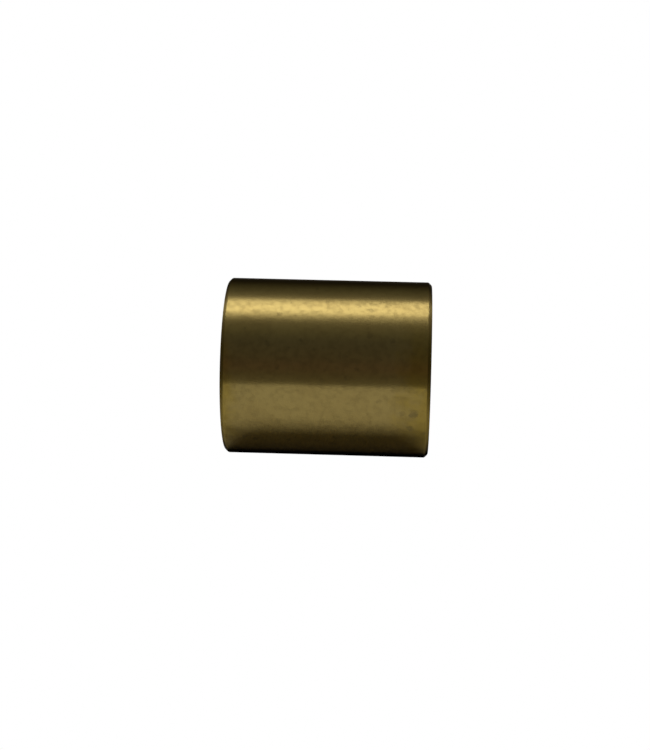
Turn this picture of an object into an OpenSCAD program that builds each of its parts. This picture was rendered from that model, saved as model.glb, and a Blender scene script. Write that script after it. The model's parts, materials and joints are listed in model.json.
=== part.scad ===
// Rigid sleeve coupling: a plain brass sleeve that joins two shafts end to end.
// Two set screws at right angles grip each shaft, and each presses on it through a soft brass tip.
// The bore runs along X. The origin is on the bore axis, half way along the sleeve.
// "left" is the -X half and "right" is the +X half. The screws open to the rear, +Y.

/* [Sleeve] */
// Outside diameter
sleeve_d = 26; // [26:0.5:32]
// Length from end face to end face
sleeve_l = 30; // [28:1:44]
// Chamfer on the outer edge of each end
edge_chamfer = 0.5; // [0.2:0.1:1]

/* [Bore] */
// Shaft diameter that the bore takes
bore_d = 12; // [10:0.5:12]
// Chamfer at each mouth of the bore
bore_chamfer = 0.6; // [0.3:0.1:1]
// Width of the relief groove that parts the two shaft seats
relief_w = 2; // [1:0.5:3]
// Depth of the relief groove
relief_depth = 0.25; // [0.1:0.05:0.4]

/* [Set screw places] */
// Distance of each screw from the middle of the sleeve
screw_station = 7.5; // [6.5:0.5:8]
// Angle of the upper row of screws, from +Y towards +Z
upper_angle = 60; // [50:1:65]
// Angle of the lower row of screws, from +Y towards +Z
lower_angle = -30; // [-40:1:-20]

/* [Set screws] */
// Major diameter of the screw thread
thread_d = 5; // [5:0.5:6]
// Pitch of the screw thread
thread_pitch = 0.8; // [0.7:0.05:1]
// How far the outer end of a screw sits below the sleeve's surface
screw_recess = 0.6; // [0.3:0.1:0.8]
// Width across flats of the hexagon socket
socket_af = 2.5; // [2:0.5:3]
// Depth of the hexagon socket
socket_depth = 2; // [1.6:0.1:2.2]
// How far the tip stands back from the bore wall when the coupling is open
tip_standoff = 0.4; // [0.2:0.1:0.6]

/* [Hidden] */
$fn = 96;
sleeve_r = sleeve_d / 2;
bore_r = bore_d / 2;
half_l = sleeve_l / 2;

// Screw thread: the tapped hole is bored to the thread's major diameter plus a running clearance.
thread_gap = 0.04;
thread_depth = 0.61 * thread_pitch;
screw_r = thread_d / 2 - thread_gap;
screw_root_r = thread_d / 2 - thread_depth;
crest_w = thread_pitch / 6;
mouth_sink = 0.4;

// Brass tip: a pad with a stem that is held in the nose of the screw.
pad_r = 1.75;
pad_t = 0.8;
pad_chamfer = 0.2;
stem_r = 1.2;
stem_l = 1.6;
stem_chamfer = 0.3;
stem_groove_r = 1.0;
stem_groove_l = 0.45;

// Nose of the screw: a drilled seat for the stem, with a lip rolled into the stem's groove.
seat_gap = 0.05;
seat_point_h = 0.35;
lip_r = 1.1;
lip_t = 0.25;
nose_chamfer = 0.45;
head_chamfer = 0.35;

// Hexagon socket: it is drilled a little under its flats first, and the drill leaves a shallow point.
socket_drill_r = socket_af / 2 - 0.05;
socket_point_h = socket_drill_r / 2;
socket_point_r = 0.05;

// Heights along a screw, measured outwards from the axis of the sleeve.
pad_z = bore_r + tip_standoff;
stem_z = pad_z + pad_t;
nose_z = stem_z + seat_gap;
head_z = sleeve_r - screw_recess;
socket_z = head_z - socket_depth;
seat_top_z = stem_z + stem_l + seat_gap;

cut = 0.1; // extra length that carries a cutter past the face it opens

// Name, side along X and row angle of each screw, and the angle that its socket has come to rest at.
PLACES = [
    ["left_upper", -1, upper_angle, 12],
    ["left_lower", -1, lower_angle, 50],
    ["right_upper", 1, upper_angle, 41],
    ["right_lower", 1, lower_angle, 23]
];

// Carries a shape built along +Z out to one screw's place, so that +Z points away from the bore.
module at_screw(place) {
    translate([place[1] * screw_station, 0, 0])
        rotate([place[2] - 90, 0, 0])
            children();
}

// Half section of the plain sleeve: radius across, length up.
module sleeve_section() {
    relief_r = bore_r + relief_depth;
    polygon([
        [bore_r + bore_chamfer, -half_l],
        [sleeve_r - edge_chamfer, -half_l],
        [sleeve_r, -half_l + edge_chamfer],
        [sleeve_r, half_l - edge_chamfer],
        [sleeve_r - edge_chamfer, half_l],
        [bore_r + bore_chamfer, half_l],
        [bore_r, half_l - bore_chamfer],
        [bore_r, relief_w / 2 + relief_depth],
        [relief_r, relief_w / 2],
        [relief_r, -relief_w / 2],
        [bore_r, -relief_w / 2 - relief_depth],
        [bore_r, -half_l + bore_chamfer]
    ]);
}

// One tapped hole, from the bore out through the wall, with a small countersink at its mouth.
module tapped_hole() {
    cylinder(r = thread_d / 2, h = sleeve_r + cut);
    translate([0, 0, sleeve_r - mouth_sink])
        cylinder(r1 = thread_d / 2, r2 = thread_d / 2 + mouth_sink + cut, h = mouth_sink + cut);
}

module coupling_sleeve() {
    color("darkgoldenrod")
        difference() {
            rotate([0, 90, 0])
                rotate_extrude()
                    sleeve_section();
            for (place = PLACES)
                at_screw(place)
                    tapped_hole();
        }
}

// Points of the thread's crests and roots between the two end chamfers, from the nose outwards.
thread_start = nose_z + nose_chamfer;
thread_end = head_z - head_chamfer;
groove_count = floor((thread_end - thread_start - crest_w) / thread_pitch);
groove_slack = (thread_end - thread_start - crest_w - groove_count * thread_pitch) / 2;
thread_points = [
    for (i = [0 : groove_count - 1])
        let (z = thread_start + groove_slack + crest_w + i * thread_pitch)
            each [
                [screw_r, z],
                [screw_root_r, z + (thread_pitch - crest_w) / 2],
                [screw_r, z + thread_pitch - crest_w]
            ]
];

// Half section of a set screw: radius across, height up. The seat for the stem opens at the nose.
module screw_section() {
    polygon(concat(
        [
            [0, seat_top_z + seat_point_h],
            [stem_r + seat_gap, seat_top_z],
            [stem_r + seat_gap, nose_z + lip_t],
            [lip_r, nose_z + lip_t],
            [lip_r, nose_z],
            [screw_r - nose_chamfer, nose_z],
            [screw_r, thread_start]
        ],
        thread_points,
        [
            [screw_r, thread_end],
            [screw_r - head_chamfer, head_z],
            [0, head_z]
        ]
    ));
}

// Hexagon socket with a drilled, conical bottom.
module hex_socket() {
    across_corners = socket_af / cos(30);
    translate([0, 0, socket_z])
        cylinder(d = across_corners, h = socket_depth + cut, $fn = 6);
    translate([0, 0, socket_z - socket_point_h])
        cylinder(r1 = socket_point_r, r2 = socket_drill_r, h = socket_point_h);
}

module set_screw(place) {
    color("dimgray")
        at_screw(place)
            difference() {
                rotate_extrude()
                    screw_section();
                rotate([0, 0, place[3]])
                    hex_socket();
            }
}

// Half section of a tip: pad below, grooved stem above.
module tip_section() {
    stem_end = stem_z + stem_l;
    polygon([
        [0, pad_z],
        [pad_r - pad_chamfer, pad_z],
        [pad_r, pad_z + pad_chamfer],
        [pad_r, stem_z],
        [stem_groove_r, stem_z],
        [stem_groove_r, stem_z + stem_groove_l],
        [stem_r, stem_z + stem_groove_l],
        [stem_r, stem_end - stem_chamfer],
        [stem_r - stem_chamfer, stem_end],
        [0, stem_end]
    ]);
}

module screw_tip(place) {
    color("goldenrod")
        at_screw(place)
            rotate_extrude()
                tip_section();
}

coupling_sleeve();
set_screw(PLACES[0]);  // set_screw_left_upper
set_screw(PLACES[1]);  // set_screw_left_lower
set_screw(PLACES[2]);  // set_screw_right_upper
set_screw(PLACES[3]);  // set_screw_right_lower
screw_tip(PLACES[0]);  // screw_tip_left_upper
screw_tip(PLACES[1]);  // screw_tip_left_lower
screw_tip(PLACES[2]);  // screw_tip_right_upper
screw_tip(PLACES[3]);  // screw_tip_right_lower
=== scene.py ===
# Rigid sleeve coupling: a satin brass sleeve, four black socket set screws and their brass tips,
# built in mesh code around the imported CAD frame. Sizes are in millimetres until a mesh is made.
import json
import math

import bmesh
import bpy
import numpy as np
from mathutils import Matrix, Vector
from mathutils.geometry import intersect_point_line


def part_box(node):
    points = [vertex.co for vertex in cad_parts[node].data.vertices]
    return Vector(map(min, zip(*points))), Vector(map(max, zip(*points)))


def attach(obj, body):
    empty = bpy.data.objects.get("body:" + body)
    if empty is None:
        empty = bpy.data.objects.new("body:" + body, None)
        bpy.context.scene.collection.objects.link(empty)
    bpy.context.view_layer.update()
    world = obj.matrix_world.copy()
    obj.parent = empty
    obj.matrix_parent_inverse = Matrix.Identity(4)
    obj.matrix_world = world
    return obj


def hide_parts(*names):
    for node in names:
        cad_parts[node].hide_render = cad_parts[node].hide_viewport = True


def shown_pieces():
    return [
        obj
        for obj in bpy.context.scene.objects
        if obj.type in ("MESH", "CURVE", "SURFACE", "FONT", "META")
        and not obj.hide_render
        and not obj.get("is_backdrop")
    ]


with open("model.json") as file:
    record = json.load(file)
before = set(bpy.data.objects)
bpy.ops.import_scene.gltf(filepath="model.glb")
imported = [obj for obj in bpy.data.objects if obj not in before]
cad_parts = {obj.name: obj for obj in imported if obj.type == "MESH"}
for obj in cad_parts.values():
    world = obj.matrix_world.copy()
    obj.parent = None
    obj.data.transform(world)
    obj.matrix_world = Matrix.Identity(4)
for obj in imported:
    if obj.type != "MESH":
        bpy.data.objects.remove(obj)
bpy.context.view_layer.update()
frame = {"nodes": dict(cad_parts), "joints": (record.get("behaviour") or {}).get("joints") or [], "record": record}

MM = 0.001


def in_mm(metres):
    """A length from the frame in mm, without the last digits that its float storage adds."""
    return round(metres / MM, 3)


# --- Sleeve sizes -----------------------------------------------------------------------------
SLEEVE_R = in_mm(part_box("coupling_sleeve")[1].z)
HALF_L = in_mm(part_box("coupling_sleeve")[1].x)
BORE_R = frame["record"]["mounts"][0]["dims"]["r_mm"]
EDGE_CHAMFER = 0.5
BORE_CHAMFER = 0.6
RELIEF_HALF_W = 1.0
RELIEF_DEPTH = 0.25
EDGE_SOFTNESS = 0.35
BORE_SOFTNESS = 0.08
SLEEVE_SIDES = 288

# --- Thread sizes, M5 x 0.8 -------------------------------------------------------------------
PITCH = 0.8
FLANK_SLOPE = math.tan(math.radians(30))
SCREW_CREST_R, SCREW_ROOT_R, SCREW_CREST_W = 2.46, 2.012, 0.12
HOLE_ROOT_R, HOLE_CREST_R, HOLE_ROOT_W = 2.52, 2.10, 0.13
MOUTH_R, MOUTH_SINK = 2.5, 0.4
THREAD_SIDES = 72
TOOL_TURN = math.radians(1.7)  # keeps the edges of round cutters off the edges that they cut
CLEAR = 0.1  # how far a cutter reaches past the face that it opens

# --- Set screw and tip sizes ------------------------------------------------------------------
NOSE_CHAMFER, HEAD_CHAMFER = 0.45, 0.35
SOCKET_FLATS, SOCKET_DEPTH = 2.5, 2.0
SOCKET_DRILL_R, SOCKET_MOUTH_R = 1.2, 1.62
SOCKET_TURN = {"left_upper": 12, "left_lower": 50, "right_upper": 41, "right_lower": 23}  # degrees
SEAT_R, SEAT_POINT = 1.25, 0.35
LIP_R, LIP_T = 1.1, 0.25
PAD_R, PAD_T, PAD_CHAMFER = 1.75, 0.8, 0.2
STEM_R, STEM_L, STEM_CHAMFER = 1.2, 1.6, 0.3
STEM_GROOVE_R, STEM_GROOVE_L = 1.0, 0.45
TIP_SOFTNESS, TIP_SIDES = 0.04, 64

# --- Mesh tolerances, in mm -------------------------------------------------------------------
ON_AXIS = 1e-6  # a smaller radius is a point on the axis
LEAST_GAP, LEAST_EDGE = 2e-4, 1e-4  # closer points and shorter edges are merged
STRAIGHT = 1e-3  # a point between two edges is dropped if it is closer than this to their line
ON_LATHE = 2e-3  # a point this close to the turned outline belongs to it


# ==============================================================================================
# Mesh helpers
# ==============================================================================================
def rounded(corners, step_deg=12):
    """Points and outward normals of a closed outline, walked with its inside on the left.
    Each corner is (across, up, fillet radius)."""
    points, normals = [], []
    for i, (x, y, fillet) in enumerate(corners):
        here = Vector((x, y))
        back = (Vector(corners[i - 1][:2]) - here).normalized()
        ahead = (Vector(corners[(i + 1) % len(corners)][:2]) - here).normalized()
        half = back.angle(ahead) / 2
        turn = math.pi - 2 * half
        centre = here + (back + ahead).normalized() * fillet / math.sin(half)
        start = here + back * fillet / math.tan(half) - centre
        side = 1 if back.cross(ahead) < 0 else -1
        steps = max(2, math.ceil(math.degrees(turn) / step_deg))
        for k in range(steps + 1):
            spoke = Matrix.Rotation(side * turn * k / steps, 2) @ start
            points.append(centre + spoke)
            normals.append(spoke.normalized() * side)
    return np.array(points), np.array(normals)


def lathe(name, outline, sides, closed=False):
    """A solid turned about Z from (radius, height) points. A closed outline makes a ring."""
    bm = bmesh.new()
    rings = []
    for r, z in outline:
        if r < ON_AXIS:
            rings.append([bm.verts.new((0, 0, z))] * sides)
            continue
        angles = [2 * math.pi * k / sides for k in range(sides)]
        rings.append([bm.verts.new((r * math.cos(a), r * math.sin(a), z)) for a in angles])
    pairs = list(zip(rings, rings[1:]))
    if closed:
        pairs.append((rings[-1], rings[0]))
    for low, high in pairs:
        for k in range(sides):
            corners = (low[k], low[(k + 1) % sides], high[(k + 1) % sides], high[k])
            distinct = list(dict.fromkeys(corners))
            if len(distinct) > 2:
                bm.faces.new(distinct)
    return solid(name, bm)


def thread(name, outline, low, high):
    """A right-handed threaded rod about Z, from (rise within one pitch, radius) points. It is closed
    by a cone at each end, which the cutting that follows takes off or leaves in open air."""
    bm = bmesh.new()
    turns = math.ceil((high - low) / PITCH)
    start = math.floor(low / PITCH) * PITCH
    last = THREAD_SIDES * turns
    rows = []
    for i in range(last + 1):
        a = 2 * math.pi * i / THREAD_SIDES
        lift = start + PITCH * i / THREAD_SIDES
        rows.append([bm.verts.new((r * math.cos(a), r * math.sin(a), lift + up)) for up, r in outline])
    for i in range(last):
        for j in range(len(outline) - 1):
            bm.faces.new((rows[i][j], rows[i + 1][j], rows[i + 1][j + 1], rows[i][j + 1]))
        if i + 1 + THREAD_SIDES <= last:
            above, above_next = rows[i + THREAD_SIDES][0], rows[i + 1 + THREAD_SIDES][0]
            bm.faces.new((rows[i][-1], rows[i + 1][-1], above_next, above))
    middle = start + PITCH * turns / 2
    rim = [e for e in bm.edges if e.is_boundary]
    for sign in (-1, 1):
        tip = bm.verts.new((0, 0, middle + sign * (turns / 2 + 1) * PITCH))
        for e in rim:
            if (e.verts[0].co.z + e.verts[1].co.z) / 2 * sign > middle * sign:
                bm.faces.new((e.verts[0], e.verts[1], tip))
    return solid(name, bm)


def prism(name, across_flats, low, high, turn_deg):
    """A hexagonal prism about Z, with a corner turned by turn_deg from +X."""
    r = across_flats / 2 / math.cos(math.radians(30))
    made = lathe(name, [(0, low), (r, low), (r, high), (0, high)], 6)
    made.data.transform(Matrix.Rotation(math.radians(turn_deg), 4, "Z"))
    return made


def round_tool(name, outline):
    """A turned cutter for a threaded piece."""
    tool = lathe(name, outline, THREAD_SIDES)
    tool.data.transform(Matrix.Rotation(TOOL_TURN, 4, "Z"))
    return tool


def solid(name, bm):
    """Turns a closed bmesh into a scene object."""
    bmesh.ops.recalc_face_normals(bm, faces=bm.faces)
    mesh = bpy.data.meshes.new(name)
    bm.to_mesh(mesh)
    bm.free()
    made = bpy.data.objects.new(name, mesh)
    bpy.context.scene.collection.objects.link(made)
    return made


def boolean(target, operation, tool):
    """Cuts target with tool, or keeps what they share, and drops the tool."""
    change = target.modifiers.new(operation.lower(), "BOOLEAN")
    change.operation = operation
    change.solver = "EXACT"
    change.object = tool
    graph = bpy.context.evaluated_depsgraph_get()
    mesh = bpy.data.meshes.new_from_object(target.evaluated_get(graph))
    target.modifiers.clear()
    target.data = mesh
    bpy.data.objects.remove(tool)


def off_line(vert):
    """How far a point between two edges lies from the straight line that would replace them."""
    a, b = (e.other_vert(vert).co for e in vert.link_edges)
    return (intersect_point_line(vert.co, a, b)[0] - vert.co).length


def soften(mesh, sharp_deg):
    """Tidies the points that a boolean leaves, then sets smooth shading, except across edges that
    turn by more than sharp_deg."""
    bm = bmesh.new()
    bm.from_mesh(mesh)
    bmesh.ops.remove_doubles(bm, verts=bm.verts, dist=LEAST_GAP)
    bmesh.ops.dissolve_degenerate(bm, edges=bm.edges, dist=LEAST_EDGE)
    spare = [v for v in bm.verts if len(v.link_edges) == 2 and off_line(v) < STRAIGHT]
    bmesh.ops.dissolve_verts(bm, verts=spare)
    for f in bm.faces:
        f.smooth = True
    for e in bm.edges:
        e.smooth = len(e.link_faces) == 2 and e.calc_face_angle(0) < math.radians(sharp_deg)
    bm.to_mesh(mesh)
    bm.free()


def keep_place(mesh):
    """Stores each point's place in the piece's own frame, in mm, for the materials."""
    flat = np.zeros(len(mesh.vertices) * 3, np.float32)
    mesh.vertices.foreach_get("co", flat)
    mesh.attributes.new("place", "FLOAT_VECTOR", "POINT").data.foreach_set("vector", flat)


# ==============================================================================================
# Screw places
# ==============================================================================================
def to_place(station, outward):
    """From a screw's own frame, Z outwards from the sleeve's axis, to the row frame, in mm."""
    along = Vector((1, 0, 0))
    turned = Matrix((along, outward.cross(along), outward)).transposed().to_4x4()
    return Matrix.Translation((station, 0, 0)) @ turned


def screw_places():
    """Each screw's place and outward direction, from its joint, by the screw's side and row."""
    found = {}
    for joint in frame["joints"]:
        if joint["type"] == "hinge":
            outward = Vector(joint["axis"])
            place = to_place(in_mm(joint["pos_m"][0]), outward)
            found[joint["name"].removesuffix("_turn")] = (place, outward)
    return found


def heights(node, outward):
    """Lowest and highest point of a CAD node along a direction from the sleeve's axis, in mm."""
    reach = [v.co.dot(outward) for v in frame["nodes"][node].data.vertices]
    return in_mm(min(reach)), in_mm(max(reach))


def hand_over(piece, body, node):
    """Scales a finished piece to metres, hangs it on the body that it rides on, and hides the CAD node that it
    stands for.
    """
    piece.data.transform(Matrix.Scale(MM, 4))
    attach(piece, body)
    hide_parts(node)


# ==============================================================================================
# Pieces
# ==============================================================================================
def thread_outline(crest_r, root_r, crest_w):
    """One pitch of a V thread with flat crests, centred on a crest."""
    flank = (crest_r - root_r) * FLANK_SLOPE
    half = crest_w / 2
    return [(-half, crest_r), (half, crest_r), (half + flank, root_r), (PITCH - half - flank, root_r)]


def sleeve_corners():
    """The sleeve's half section as (place along the bore, radius, fillet) corners."""
    right = [
        (RELIEF_HALF_W, BORE_R + RELIEF_DEPTH, BORE_SOFTNESS),
        (RELIEF_HALF_W + RELIEF_DEPTH, BORE_R, BORE_SOFTNESS),
        (HALF_L - BORE_CHAMFER, BORE_R, BORE_SOFTNESS),
        (HALF_L, BORE_R + BORE_CHAMFER, BORE_SOFTNESS),
        (HALF_L, SLEEVE_R - EDGE_CHAMFER, EDGE_SOFTNESS),
        (HALF_L - EDGE_CHAMFER, SLEEVE_R, EDGE_SOFTNESS),
    ]
    return right + [(-x, r, soft) for x, r, soft in reversed(right)]


def tapped_hole(place):
    """Cutters for one tapped hole: the helical thread, and the small countersink at its mouth."""
    into_bore, past_thread, past_mouth = 1.5, 1.0, 0.5
    outline = thread_outline(HOLE_ROOT_R, HOLE_CREST_R, HOLE_ROOT_W)
    cutter = thread("hole_thread", outline, BORE_R - into_bore, SLEEVE_R + past_thread)
    low, top = SLEEVE_R - MOUTH_SINK, SLEEVE_R + past_mouth
    wide = MOUTH_R + MOUTH_SINK + past_mouth
    mouth = round_tool("hole_mouth", [(0, low), (MOUTH_R, low), (wide, top), (0, top)])
    for tool in (cutter, mouth):
        tool.data.transform(place)
    return cutter, mouth


def turned_normals(points, outline, normals):
    """The exact normal of a body turned about X at each point, and whether the point is on it."""
    span = np.roll(outline, -1, axis=0) - outline
    radius = np.hypot(points[:, 1], points[:, 2])
    spot = np.stack([points[:, 0], radius], 1)
    share = np.clip(((spot[:, None] - outline) * span).sum(2) / (span**2).sum(1), 0, 1)
    near = outline + share[..., None] * span
    gap = np.linalg.norm(near - spot[:, None], axis=2)
    row = np.arange(len(points))
    best = gap.argmin(1)
    mix = share[row, best][:, None]
    profile = normals[best] * (1 - mix) + np.roll(normals, -1, axis=0)[best] * mix
    across = profile[:, 1:] * points[:, 1:] / radius[:, None]
    exact = np.concatenate([profile[:, :1], across], 1)
    return exact / np.linalg.norm(exact, axis=1)[:, None], gap[row, best] < ON_LATHE


def shade_turned(mesh, outline, normals, sharp_deg):
    """Exact normals on the turned faces, and softened ones in the tapped holes.
    Returns which faces are turned."""
    same_way = 0.9  # least cosine between a turned face's own normal and the exact one
    soften(mesh, sharp_deg)
    points = np.array([v.co for v in mesh.vertices])
    exact, on_lathe = turned_normals(points, outline, normals)
    corner = np.array([n.vector for n in mesh.corner_normals])
    turned = np.zeros(len(mesh.polygons), bool)
    for face in mesh.polygons:
        ids = list(face.vertices)
        if on_lathe[ids].all() and (exact[ids] @ np.array(face.normal)).min() > same_way:
            turned[face.index] = True
            corner[list(face.loop_indices)] = exact[ids]
    mesh.normals_split_custom_set(corner.tolist())
    return turned


def sleeve_zone(x, low_r, high_r, faces_along):
    """The name of the way that a turned face of the sleeve was made."""
    slack = 0.02
    if low_r > SLEEVE_R - slack:
        return "outer"
    if low_r > SLEEVE_R - EDGE_CHAMFER - slack:
        return "chamfer"
    if faces_along and high_r > BORE_R + BORE_CHAMFER:
        return "end_face"
    if x > HALF_L - BORE_CHAMFER - slack:
        return "chamfer"
    return "bore"


def paint_sleeve(mesh, turned, paints):
    """Gives each face the material for the way that it was made."""
    along_bore = 0.95  # least share of the normal along X that makes a face an end face
    names = list(paints)
    for name in names:
        mesh.materials.append(paints[name])
    for face in mesh.polygons:
        zone = "tapped"
        if turned[face.index]:
            radii = [math.hypot(*mesh.vertices[i].co.yz) for i in face.vertices]
            faces_along = abs(face.normal.x) > along_bore
            zone = sleeve_zone(abs(face.center.x), min(radii), max(radii), faces_along)
        face.material_index = names.index(zone)


def build_sleeve(places, paints):
    """The sleeve: turned body with softened edges, bore, relief and four tapped holes."""
    outline, normals = rounded(sleeve_corners())
    body = lathe("turned_sleeve", [(r, x) for x, r in outline], SLEEVE_SIDES, closed=True)
    z_to_x = Matrix(((0, 0, 1, 0), (1, 0, 0, 0), (0, 1, 0, 0), (0, 0, 0, 1)))
    body.data.transform(z_to_x)
    for place in places:
        for tool in tapped_hole(place):
            boolean(body, "DIFFERENCE", tool)
    turned = shade_turned(body.data, outline, normals, sharp_deg=35)
    paint_sleeve(body.data, turned, paints)
    hand_over(body, "sleeve", "coupling_sleeve")


def screw_envelope(nose, head):
    """The chamfered blank that a set screw's thread is cut on."""
    wide = SCREW_CREST_R + CLEAR
    return round_tool("screw_envelope", [
        (0, nose), (SCREW_CREST_R - NOSE_CHAMFER, nose), (wide, nose + NOSE_CHAMFER + CLEAR),
        (wide, head - HEAD_CHAMFER - CLEAR), (SCREW_CREST_R - HEAD_CHAMFER, head), (0, head)])


def socket_tools(head, turn_deg):
    """Cutters for the hexagon socket: its flats, the drill's point below and the chamfer above."""
    floor, top = head - SOCKET_DEPTH, head + CLEAR
    point = floor - SOCKET_DRILL_R / 2
    return [
        prism("socket_flats", SOCKET_FLATS, floor, top, turn_deg),
        round_tool("socket_point", [
            (0, point), (SOCKET_DRILL_R, floor), (SOCKET_DRILL_R, floor + CLEAR), (0, floor + CLEAR)]),
        round_tool("socket_mouth", [
            (0, head - SOCKET_MOUTH_R), (SOCKET_MOUTH_R + CLEAR, top), (0, top)])]


def seat_tool(nose):
    """Cutter for the seat in the nose, with the lip that holds the tip's stem."""
    lip_top, seat_top = nose + LIP_T, nose + STEM_L
    return round_tool("seat", [
        (0, nose - CLEAR), (LIP_R, nose - CLEAR), (LIP_R, lip_top), (SEAT_R, lip_top),
        (SEAT_R, seat_top), (0, seat_top + SEAT_POINT)])


def build_screw(name, place, nose, head, paint):
    """One set screw: helical thread, chamfered ends, hexagon socket and the seat for its tip."""
    outline = thread_outline(SCREW_CREST_R, SCREW_ROOT_R, SCREW_CREST_W)
    body = thread(f"socket_screw_{name}", outline, nose - PITCH, head + PITCH)
    boolean(body, "INTERSECT", screw_envelope(nose, head))
    for tool in socket_tools(head, SOCKET_TURN[name]) + [seat_tool(nose)]:
        boolean(body, "DIFFERENCE", tool)
    soften(body.data, sharp_deg=32)
    keep_place(body.data)
    body.data.materials.append(paint)
    body.data.transform(place)
    hand_over(body, f"screw_{name}", f"set_screw_{name}")


def tip_corners(low, high):
    """A tip's half section as (radius, height, fillet) corners, from the pad's chamfer upwards and
    back down the axis."""
    stem = low + PAD_T
    groove_top = stem + STEM_GROOVE_L
    corners = [
        (PAD_R - PAD_CHAMFER, low), (PAD_R, low + PAD_CHAMFER), (PAD_R, stem), (STEM_GROOVE_R, stem),
        (STEM_GROOVE_R, groove_top), (STEM_R, groove_top), (STEM_R, high - STEM_CHAMFER),
        (STEM_R - STEM_CHAMFER, high)]
    return [(r, z, TIP_SOFTNESS) for r, z in corners] + [(0, high, 0), (0, low, 0)]


def build_tip(name, place, low, high, paint):
    """One brass tip: a chamfered pad and a grooved stem, turned in one piece."""
    points = np.round(rounded(tip_corners(low, high))[0], 6).tolist()
    outline = list(dict.fromkeys((max(r, 0.0), z) for r, z in points))
    start = outline.index((0.0, low))
    body = lathe(f"turned_tip_{name}", outline[start:] + outline[:start], TIP_SIDES)
    soften(body.data, sharp_deg=40)
    keep_place(body.data)
    body.data.materials.append(paint)
    body.data.transform(place)
    hand_over(body, f"tip_{name}", f"screw_tip_{name}")


# ==============================================================================================
# Node helpers
# ==============================================================================================
class Nodes:
    """Short names for the nodes of one tree, of a material, a world or a lamp."""

    def __init__(self, tree):
        self.tree = tree
        self.tree.nodes.clear()

    def node(self, kind, inputs=None, **settings):
        made = self.tree.nodes.new("ShaderNode" + kind)
        for key, value in settings.items():
            setattr(made, key, value)
        for key, value in (inputs or {}).items():
            self.put(made.inputs[key], value)
        return made

    def put(self, socket, value):
        """Links a socket to another one, or sets it to a plain value."""
        if isinstance(value, bpy.types.NodeSocket):
            self.tree.links.new(value, socket)
        else:
            socket.default_value = value

    def math(self, operation, a, b=0.0, c=0.0):
        return self.node("Math", {0: a, 1: b, 2: c}, operation=operation).outputs[0]

    def vector(self, operation, a, b, c=(0, 0, 0)):
        return self.node("VectorMath", {0: a, 1: b, 2: c}, operation=operation).outputs["Vector"]

    def axes(self, vector):
        return self.node("SeparateXYZ", {"Vector": vector}).outputs

    def band(self, value, low, high, bottom=0.0, top=1.0):
        """A smooth step from bottom to top as value goes from low to high."""
        inputs = {"Value": value, "From Min": low, "From Max": high, "To Min": bottom, "To Max": top}
        return self.node("MapRange", inputs, interpolation_type="SMOOTHSTEP").outputs["Result"]

    def only_camera(self, seen, lit, output):
        """Shows one shader to the camera and another to every other ray."""
        path = self.node("LightPath").outputs["Is Camera Ray"]
        mix = self.node("MixShader", {0: path, 1: lit.outputs[0], 2: seen.outputs[0]})
        self.node(output, {0: mix.outputs[0]})


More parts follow.
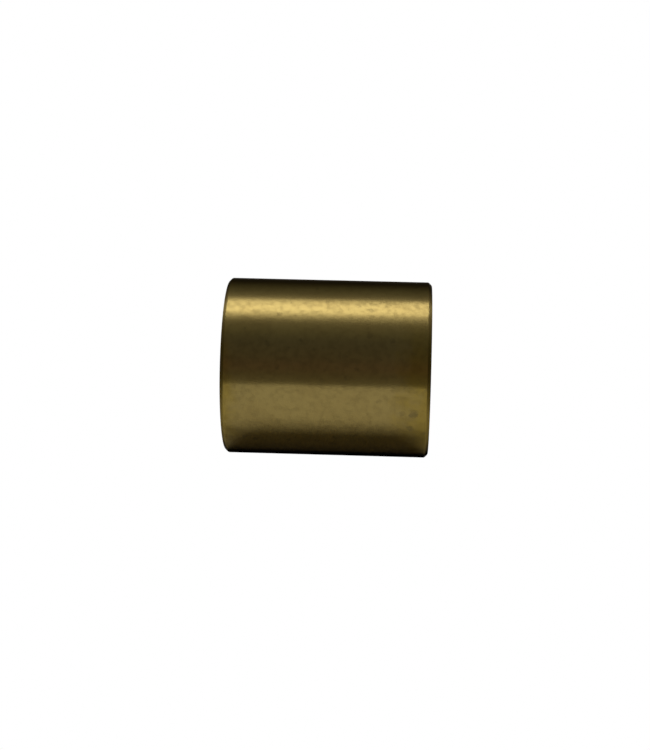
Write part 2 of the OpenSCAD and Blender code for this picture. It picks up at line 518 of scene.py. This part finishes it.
class Paint(Nodes):
    """A procedural material. Its coordinates are places in mm, in the row frame, or in the piece's
    own frame where place names the attribute that holds them."""

    def __init__(self, name, place=None):
        self.material = bpy.data.materials.new(name)
        self.material.use_nodes = True
        super().__init__(self.material.node_tree)
        self.surface = self.node("BsdfPrincipled")
        self.node("OutputMaterial", {0: self.surface.outputs[0]})
        if place:
            self.at = self.node("Attribute", attribute_name=place).outputs["Vector"]
        else:
            self.at = self.vector("DIVIDE", self.node("TexCoord").outputs["Object"], (MM, MM, MM))
        self.x, self.y, self.z = self.axes(self.at)

    def reach(self, a, b):
        """The distance from an axis, from the two coordinates across it."""
        return self.math("SQRT", self.math("ADD", self.math("MULTIPLY", a, a), self.math("MULTIPLY", b, b)))

    def moved(self, stretch, seed):
        """The place scaled by stretch, in grains for each mm along X, Y and Z, and shifted by seed."""
        return self.vector("MULTIPLY", self.vector("ADD", self.at, (seed, seed * 0.7, seed * 1.3)), stretch)

    def noise(self, stretch, detail, rough, seed):
        """Cloudy noise from 0 to 1."""
        inputs = {"Vector": self.moved(stretch, seed), "Scale": 1.0, "Detail": detail, "Roughness": rough}
        return self.node("TexNoise", inputs).outputs["Fac"]

    def rings(self, across, around, per_mm, seed):
        """Tool lines across a coordinate, which change only slowly along the other two."""
        slow = 0.1
        at = self.node("CombineXYZ", {0: self.math("MULTIPLY_ADD", across, per_mm, seed)})
        for socket, value in zip(at.inputs[1:], around):
            self.put(socket, self.math("MULTIPLY", value, slow))
        inputs = {"Vector": at.outputs[0], "Scale": 1.0, "Detail": 3.0, "Roughness": 0.7}
        return self.node("TexNoise", inputs).outputs["Fac"]

    def dots(self, per_mm, radius, share, seed):
        """Ragged dots, 1 inside. There is one cell for each 1 / per_mm, and share of them hold a dot,
        of up to radius cells."""
        ragged = self.node("TexNoise", {"Vector": self.moved((per_mm * 3,) * 3, seed), "Scale": 1.0})
        cells = self.moved((per_mm,) * 3, seed)
        at = self.vector("MULTIPLY_ADD", ragged.outputs["Color"], (0.5, 0.5, 0.5), cells)
        cell = self.node("TexVoronoi", {"Vector": at, "Scale": 1.0})
        held = self.band(self.axes(cell.outputs["Color"])[0], 1 - share, 1 - share * 0.4)
        return self.math("MULTIPLY", held, self.band(cell.outputs["Distance"], radius, radius * 0.3))

    def scuff(self, along, angle, radius, strength):
        """A ragged smudge on the outside, at a place along X and an angle above the front, in degrees.
        Its edge is torn by up to half of swing radii either way."""
        swing = 2.4
        up = math.radians(angle)
        centre = (along, -SLEEVE_R * math.cos(up), SLEEVE_R * math.sin(up))
        off = self.node("VectorMath", {0: self.at, 1: centre}, operation="DISTANCE").outputs["Value"]
        torn = self.noise((1.6, 1.6, 1.6), detail=4.0, rough=0.7, seed=along)
        torn = self.math("MULTIPLY_ADD", torn, swing, -swing / 2)
        return self.band(self.math("MULTIPLY_ADD", torn, radius, off), radius, 0.3 * radius, 0.0, strength)

    def mix(self, share, a, b):
        """Colour a with a share of colour b."""
        return self.node("Mix", {0: share, 6: a, 7: b}, data_type="RGBA").outputs[2]

    def bump(self, height, depth, under=None):
        """A normal bent by height, on top of the normal under it. depth is in mm."""
        made = self.node("Bump", {"Height": height, "Distance": depth * MM})
        if under is not None:
            self.put(made.inputs["Normal"], under)
        return made.outputs["Normal"]

    def set(self, **inputs):
        """Sets inputs of the surface, with _ for each space in their names."""
        for key, value in inputs.items():
            self.put(self.surface.inputs[key.replace("_", " ")], value)


# ==============================================================================================
# Materials
# ==============================================================================================
BRASS = (0.80, 0.60, 0.205, 1)
BRASS_GOLD = (0.76, 0.53, 0.085, 1)
BRASS_BROWN = (0.62, 0.43, 0.135, 1)
BRASS_PIT = (0.40, 0.30, 0.12, 1)
TARNISH_SHARE, GOLD_SHARE, MOTTLE_SHARE, PIT_SHARE = 0.35, 0.7, 0.07, 0.3  # the most of each tone
SATIN = 0.285  # the least roughness of the satin brass
LINE_GRAIN, MOTTLE_GRAIN, PIT_GRAIN = 0.03, 0.10, 0.05  # what each adds to the roughness
WAVE_DEPTH = 0.006
GOLD_FADE, GOLD_SWING = 4.5, 9.0  # mm over which the golden tint sets in, and how far its edge wanders
GOLD_SHIFT = 1.2  # mm that it reaches further in from the right end, and less from the left one
GOLD_TOP, GOLD_FULL = 0.7, 0.3  # heights, in sleeve radii, where it sets in and where it is full
SCUFFS = [(12.7, -21.0, 0.9, 0.6), (12.2, -32.0, 0.7, 0.4)]  # place along X, angle, radius, strength
TIP_LIGHT, TIP_DARK = (0.82, 0.63, 0.25, 1), (0.74, 0.53, 0.18, 1)
OXIDE_DARK, OXIDE_LIGHT = (0.040, 0.042, 0.048, 1), (0.065, 0.065, 0.070, 1)
BARE_STEEL = (0.30, 0.29, 0.28, 1)


def turned_brass(name, lines_per_mm, line_depth, line_tone=0.0, wear=1.0, faced=False):
    """Satin brass with tool lines, slight waves, tarnish and small dark pits. The lines lie around
    the bore, side by side along it, or one inside the other where the surface was faced. line_tone
    is how dark they are, and wear is how uneven the satin is."""
    p = Paint(name)
    cloud = p.noise((0.16, 0.22, 0.22), detail=4.0, rough=0.6, seed=3.0)
    tarnish = p.band(cloud, 0.40, 0.75, 0.0, TARNISH_SHARE)
    reach = p.math("ABSOLUTE", p.math("ADD", p.x, GOLD_SHIFT))
    wander = p.noise((0.25, 0.25, 0.25), detail=3.0, rough=0.6, seed=9.0)
    near_end = p.band(p.math("MULTIPLY_ADD", wander, GOLD_SWING, reach), HALF_L, HALF_L + GOLD_FADE)
    low_down = p.band(p.z, GOLD_TOP * SLEEVE_R, GOLD_FULL * SLEEVE_R)
    golden = p.math("MULTIPLY", p.math("MULTIPLY", near_end, low_down), GOLD_SHARE)
    mottle = p.noise((1.2, 1.2, 1.2), detail=3.0, rough=0.6, seed=21.0)
    pits = p.dots(per_mm=0.62, radius=0.36, share=0.30, seed=11.0)
    lines = p.rings(p.reach(p.y, p.z) if faced else p.x, (p.y, p.z), lines_per_mm, seed=5.0)
    colour = p.mix(tarnish, BRASS, BRASS_BROWN)
    colour = p.mix(golden, colour, BRASS_GOLD)
    colour = p.mix(p.band(mottle, 0.40, 0.72, 0.0, MOTTLE_SHARE * wear), colour, BRASS_PIT)
    colour = p.mix(p.band(lines, 0.35, 0.65, 0.0, line_tone), colour, BRASS_PIT)
    colour = p.mix(p.math("MULTIPLY", pits, PIT_SHARE), colour, BRASS_PIT)
    for scuff in SCUFFS:
        colour = p.mix(p.scuff(*scuff), colour, BRASS_PIT)
    grain = p.math("MULTIPLY_ADD", lines, LINE_GRAIN, SATIN)
    grain = p.math("ADD", grain, p.band(mottle, 0.38, 0.68, 0.0, MOTTLE_GRAIN * wear))
    grain = p.math("MULTIPLY_ADD", pits, PIT_GRAIN, grain)
    normal = p.bump(p.noise((0.9, 0.9, 0.9), detail=2.0, rough=0.5, seed=17.0), WAVE_DEPTH)
    normal = p.bump(lines, line_depth, under=normal)
    tangent = p.node("Tangent", direction_type="RADIAL", axis="X").outputs[0]
    p.set(Base_Color=colour, Metallic=1.0, Roughness=grain, Anisotropic=1.0,
          Anisotropic_Rotation=0.25, Tangent=tangent, Normal=normal)
    return p.material


def tip_brass():
    """Fresh machined brass with rings from the lathe tool."""
    ring_grain, ring_depth = 0.12, 0.01
    p = Paint("tip_brass", "place")
    rings = p.noise((0.6, 0.6, 9.0), detail=2.0, rough=0.6, seed=2.0)
    p.set(Base_Color=p.mix(rings, TIP_LIGHT, TIP_DARK), Metallic=1.0,
          Roughness=p.math("MULTIPLY_ADD", rings, ring_grain, SATIN), Normal=p.bump(rings, ring_depth))
    return p.material


def black_steel(head):
    """Black oxide: deep blue-black, slightly uneven, worn to bare steel on the thread's crests and
    around the mouth of the socket. head is the height of the screw's outer end."""
    worn_crest, least_worn, bare_share = 0.05, 0.2, 0.8
    oxide_metal, oxide_rough, fine_grain, fine_depth = 0.6, 0.29, 0.16, 0.004
    p = Paint("black_oxide", "place")
    radius = p.reach(p.x, p.y)
    cloud = p.noise((1.2, 1.2, 1.2), detail=4.0, rough=0.6, seed=7.0)
    fine = p.noise((9.0, 9.0, 9.0), detail=3.0, rough=0.6, seed=1.0)
    crest = p.band(radius, SCREW_CREST_R - worn_crest, SCREW_CREST_R)
    in_mouth = p.band(radius, SOCKET_MOUTH_R + 0.04, SOCKET_MOUTH_R - 0.02)
    mouth = p.math("MULTIPLY", in_mouth, p.band(p.z, head - 0.45, head - 0.05))
    rubbed = p.band(cloud, 0.36, 0.60, least_worn, 1.0)
    worn = p.math("MULTIPLY", p.math("MAXIMUM", crest, mouth), rubbed)
    colour = p.mix(cloud, OXIDE_DARK, OXIDE_LIGHT)
    colour = p.mix(p.math("MULTIPLY", worn, bare_share), colour, BARE_STEEL)
    p.set(Base_Color=colour, Metallic=p.math("MULTIPLY_ADD", worn, 1.0 - oxide_metal, oxide_metal),
          Roughness=p.math("MULTIPLY_ADD", fine, fine_grain, oxide_rough), Normal=p.bump(fine, fine_depth))
    return p.material


def sleeve_paints():
    """One brass for each way that a surface of the sleeve was made."""
    return {
        "outer": turned_brass("brass_outer", 9.0, 0.0004),
        "chamfer": turned_brass("brass_chamfer", 5.0, 0.0005, wear=0.3),
        "end_face": turned_brass("brass_end_face", 2.2, 0.015, line_tone=0.3, wear=0.3, faced=True),
        "bore": turned_brass("brass_bore", 2.5, 0.003, line_tone=0.2, wear=0.5),
        "tapped": turned_brass("brass_tapped", 2.0, 0.001, wear=0.3),
    }


# ==============================================================================================
# Studio
# ==============================================================================================
WHITE = (1, 1, 1, 1)
FLOOR_FRONT, FLOOR_SIDE, FLOOR_BACK = 55.5, 75.0, 900.0
FLOOR_TONE = (1.0, 1.0, 0.975)
PAINTED_LIGHT_NEAR, PAINTED_LIGHT_FAR = (16.0, 0.415), (54.0, 0.50)  # distance in front of the axis, and the painted light level of the floor there
# Painted shadow, seen only in reflections: the floor's colour is painted darker near the line where the sleeve
# touches it, painted black right along that line, and painted darker past both ends of the sleeve. Each pair is
# the two distances from the sleeve's middle between which it changes, and each share is the light that is left.
CONTACT_SHADOW, CONTACT_SHADOW_SHARE = (2.0, 7.5), 0.2
CONTACT_SHADOW_LINE, SHADOW_LINE_SHARE = (3.2, 5.2), 0.0
# Painted shade on the floor past both ends of the sleeve.
FLOOR_END_SHADE, FLOOR_END_SHADE_SHARE = (48.0, 10.0), 0.2

# How bright the room is, by the angle from the front horizon up and over to the rear one.
# It darkens towards both ends of the sleeve, from ROOM_SIDE to straight along the bore.
ROOM_SIDE, ROOM_END_SHARE = 0.45, 0.15
ROOM_FROM, ROOM_TO = -90.0, 180.0
ROOM = [
    (-14, (0.088, 0.084, 0.068)),
    (-3, (0.073, 0.065, 0.052)),
    (8, (0.070, 0.055, 0.049)),
    (22, (0.060, 0.055, 0.050)),
    (43, (0.056, 0.056, 0.056)),
    (55, (0.076, 0.076, 0.066)),
    (72, (0.130, 0.128, 0.118)),
    (104, (0.160, 0.155, 0.150)),
    (112, (0.140, 0.138, 0.132)),
    (122, (0.084, 0.084, 0.073)),
    (134, (0.050, 0.050, 0.036)),
    (148, (0.015, 0.013, 0.008)),
    (162, (0.004, 0.004, 0.003)),
    (176, (0.040, 0.038, 0.034)),
]
# The two corners behind the sleeve glow a little, which shows mostly on its rear side.
CORNER_GLOW = (0.072, 0.068, 0.059)
CORNER_FROM_BACK, CORNER_FROM_SIDE = (0.10, 0.60), (0.35, 0.75)

CAMERA_AZIMUTH, CAMERA_ELEVATION, CAMERA_ROLL = 2.3, 8.0, 1.17  # degrees
CAMERA_RADII = 19.32  # how many sleeve radii it stands away
CAMERA_LENS, CAMERA_SENSOR = 80.96, 36
CAMERA_SHIFT_X, CAMERA_SHIFT_Y = -0.005, -0.010


def build_floor():
    """A pale table top under the sleeve, which ends a little way in front of it. It is white to a
    camera above it and doesn't hide the sleeve from one below it."""
    z, front, side, back = (v * MM for v in (-SLEEVE_R, -FLOOR_FRONT, FLOOR_SIDE, FLOOR_BACK))
    bm = bmesh.new()
    corners = ((-side, front, z), (side, front, z), (side, back, z), (-side, back, z))
    bm.faces.new([bm.verts.new(v) for v in corners])
    floor = solid("floor", bm)
    material = bpy.data.materials.new("pale_floor")
    material.use_nodes = True
    n = Nodes(material.node_tree)
    x, y, _ = n.axes(n.node("TexCoord").outputs["Object"])
    off_x, off_y = n.math("ABSOLUTE", x), n.math("ABSOLUTE", y)
    # Painted light: in reflections the floor's colour is graded with the distance in front of the sleeve, standing
    # in for how the light falls on it.
    level = n.band(y, -PAINTED_LIGHT_FAR[0] * MM, -PAINTED_LIGHT_NEAR[0] * MM, PAINTED_LIGHT_FAR[1], PAINTED_LIGHT_NEAR[1])
    # Painted shadow: a contact shadow, a black shadow line along the contact and shade past the sleeve's ends are
    # painted into the floor's colour.
    painted_shadows = ((off_y, CONTACT_SHADOW, CONTACT_SHADOW_SHARE), (off_y, CONTACT_SHADOW_LINE, SHADOW_LINE_SHARE),
              (off_x, FLOOR_END_SHADE, FLOOR_END_SHADE_SHARE))
    for off, (low, high), share in painted_shadows:
        level = n.math("MULTIPLY", level, n.band(off, low * MM, high * MM, share, 1.0))
    lit = n.node("BsdfDiffuse", {"Color": n.vector("MULTIPLY", FLOOR_TONE, level)})
    above, below = n.node("Emission", {"Color": WHITE}), n.node("BsdfTransparent")
    from_below = n.node("NewGeometry").outputs["Backfacing"]
    seen = n.node("MixShader", {0: from_below, 1: above.outputs[0], 2: below.outputs[0]})
    n.only_camera(seen, lit, "OutputMaterial")
    floor.data.materials.append(material)
    floor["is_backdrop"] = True


def build_room():
    """A white surround for the camera, and a dim room, brightest overhead, in the reflections."""
    world = bpy.data.worlds.new("room")
    bpy.context.scene.world = world
    world.use_nodes = True
    n = Nodes(world.node_tree)
    x, y, z = n.axes(n.node("TexCoord").outputs["Generated"])
    angle = n.math("DEGREES", n.math("ARCTAN2", z, n.math("MULTIPLY", y, -1.0)))
    share = n.node("MapRange", {"Value": angle, "From Min": ROOM_FROM, "From Max": ROOM_TO})
    ramp = n.node("ValToRGB", {0: share.outputs["Result"]})
    stops = ramp.color_ramp.elements
    stops.remove(stops[1])
    for angle_deg, colour in ROOM:
        stop = stops.new((angle_deg - ROOM_FROM) / (ROOM_TO - ROOM_FROM))
        stop.color = (*colour, 1)
    stops.remove(stops[0])
    off_middle = n.math("ABSOLUTE", x)
    level = n.band(off_middle, ROOM_SIDE, 1.0, 1.0, ROOM_END_SHARE)
    corners = n.math("MULTIPLY", n.band(y, *CORNER_FROM_BACK), n.band(off_middle, *CORNER_FROM_SIDE))
    tone = n.vector("ADD", n.vector("MULTIPLY", ramp.outputs["Color"], level),
                    n.vector("MULTIPLY", CORNER_GLOW, corners))
    room = n.node("Background", {"Color": tone})
    n.only_camera(n.node("Background", {"Color": WHITE}), room, "OutputWorld")


def area_light(name, at, size, watts, glossy=True, only=None):
    """A soft box at a place in mm, aimed at the sleeve. only is the collection that it lights."""
    lamp = bpy.data.lights.new(name, "AREA")
    lamp.shape = "RECTANGLE"
    lamp.size, lamp.size_y = (side * MM for side in size)
    lamp.energy = watts
    made = bpy.data.objects.new(name, lamp)
    made.location = Vector(at) * MM
    made.rotation_mode = "QUATERNION"
    made.rotation_quaternion = made.location.to_track_quat("Z", "Y")
    made.visible_camera = False
    made.visible_glossy = glossy
    bpy.context.scene.collection.objects.link(made)
    if only:
        made.light_linking.receiver_collection = only
    return made


def fade_edges(lamp, soft):
    """Makes a soft box brightest along its middle and dark at its long edges. soft is the share of
    its half width over which it fades."""
    lamp.use_nodes = True
    n = Nodes(lamp.node_tree)
    along = n.axes(n.node("NewGeometry").outputs["Parametric"])[1]
    off = n.math("ABSOLUTE", n.math("SUBTRACT", along, 0.5))
    glow = n.node("Emission", {"Strength": n.band(off, 0.5, 0.5 - soft / 2)})
    n.node("OutputLight", {0: glow.outputs[0]})


def build_lights():
    """One long soft box overhead, two fills that stay out of the reflections, and one light for the
    screws at the rear."""
    overhead_turn, overhead_fade = math.radians(17), 0.35
    screws = bpy.data.collections.new("screws")
    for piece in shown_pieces():
        if piece.name.startswith("socket_screw"):
            screws.objects.link(piece)
    overhead = area_light("overhead", (-20, -1, 260), (260, 130), 0.131)
    overhead.rotation_quaternion = Matrix.Rotation(overhead_turn, 3, "Z").to_quaternion()
    fade_edges(overhead.data, overhead_fade)
    area_light("floor_fill", (0, -37, 280), (400, 120), 0.46, glossy=False)
    area_light("front_fill", (0, -260, 150), (300, 100), 0.045, glossy=False)
    area_light("rear_fill", (60, 320, 160), (300, 300), 1.0, only=screws)


def build_camera():
    """A long lens, a little above the sleeve and a little to the right of its middle."""
    angles = (CAMERA_AZIMUTH, CAMERA_ELEVATION, CAMERA_ROLL)
    azimuth, elevation, roll = (math.radians(v) for v in angles)
    distance = CAMERA_RADII * SLEEVE_R * MM
    across = Vector((math.sin(azimuth), -math.cos(azimuth), 0))
    back = across * math.cos(elevation) + Vector((0, 0, math.sin(elevation)))
    data = bpy.data.cameras.new("camera")
    data.lens = CAMERA_LENS
    data.sensor_width = CAMERA_SENSOR
    data.clip_start = 10 * MM
    data.shift_x = CAMERA_SHIFT_X
    data.shift_y = CAMERA_SHIFT_Y
    made = bpy.data.objects.new("camera", data)
    made.location = back * distance
    made.rotation_mode = "QUATERNION"
    rolled = Matrix.Rotation(roll, 3, "Z").to_quaternion()
    made.rotation_quaternion = (-back).to_track_quat("-Z", "Y") @ rolled
    bpy.context.scene.collection.objects.link(made)
    bpy.context.scene.camera = made


# ==============================================================================================
# Build
# ==============================================================================================
places = screw_places()
screw_heads = [heights(f"set_screw_{spot}", outward)[1] for spot, (_, outward) in places.items()]
build_sleeve([place for place, _ in places.values()], sleeve_paints())
brass, steel = tip_brass(), black_steel(max(screw_heads))
for spot, (place, outward) in places.items():
    build_screw(spot, place, *heights(f"set_screw_{spot}", outward), steel)
    build_tip(spot, place, *heights(f"screw_tip_{spot}", outward), brass)

bpy.context.scene.view_settings.view_transform = "Standard"
build_floor()
build_room()
build_lights()
build_camera()
